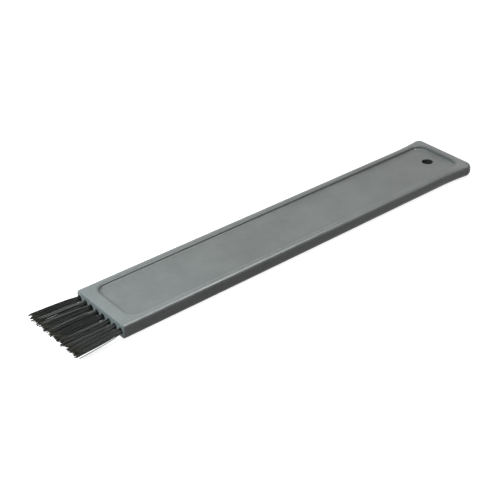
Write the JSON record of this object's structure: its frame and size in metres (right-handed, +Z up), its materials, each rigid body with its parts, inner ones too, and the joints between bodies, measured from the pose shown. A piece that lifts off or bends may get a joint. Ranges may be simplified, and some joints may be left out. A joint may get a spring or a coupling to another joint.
{
  "type": "cleaning brush",
  "caption": "Small flat cleaning brush: a straight moulded handle with a recessed panel, a hanging hole at one end, and a row of stiff dark bristle tufts set into the end face at the other.",
  "frame": {"origin": "under the middle of the whole brush, on the flat underside it rests on", "axes": "+X along the brush, from the bristles to the hanging hole; +Y across it; +Z up, out of the recessed face"},
  "size_m": [0.1334, 0.0212, 0.0041],
  "materials": {
    "handle_plastic": "satin",
    "bristle_nylon": "satin",
    "anchor_brass": "satin"
  },
  "bodies": {
    "root": {"handle": "handle_plastic", "tuft_1": "bristle_nylon", "tuft_2": "bristle_nylon", "tuft_3": "bristle_nylon", "tuft_4": "bristle_nylon", "tuft_5": "bristle_nylon", "tuft_6": "bristle_nylon", "tuft_7": "bristle_nylon", "tuft_8": "bristle_nylon", "anchor_1": "anchor_brass", "anchor_2": "anchor_brass", "anchor_3": "anchor_brass", "anchor_4": "anchor_brass", "anchor_5": "anchor_brass", "anchor_6": "anchor_brass", "anchor_7": "anchor_brass", "anchor_8": "anchor_brass"}
  },
  "joints": []
}
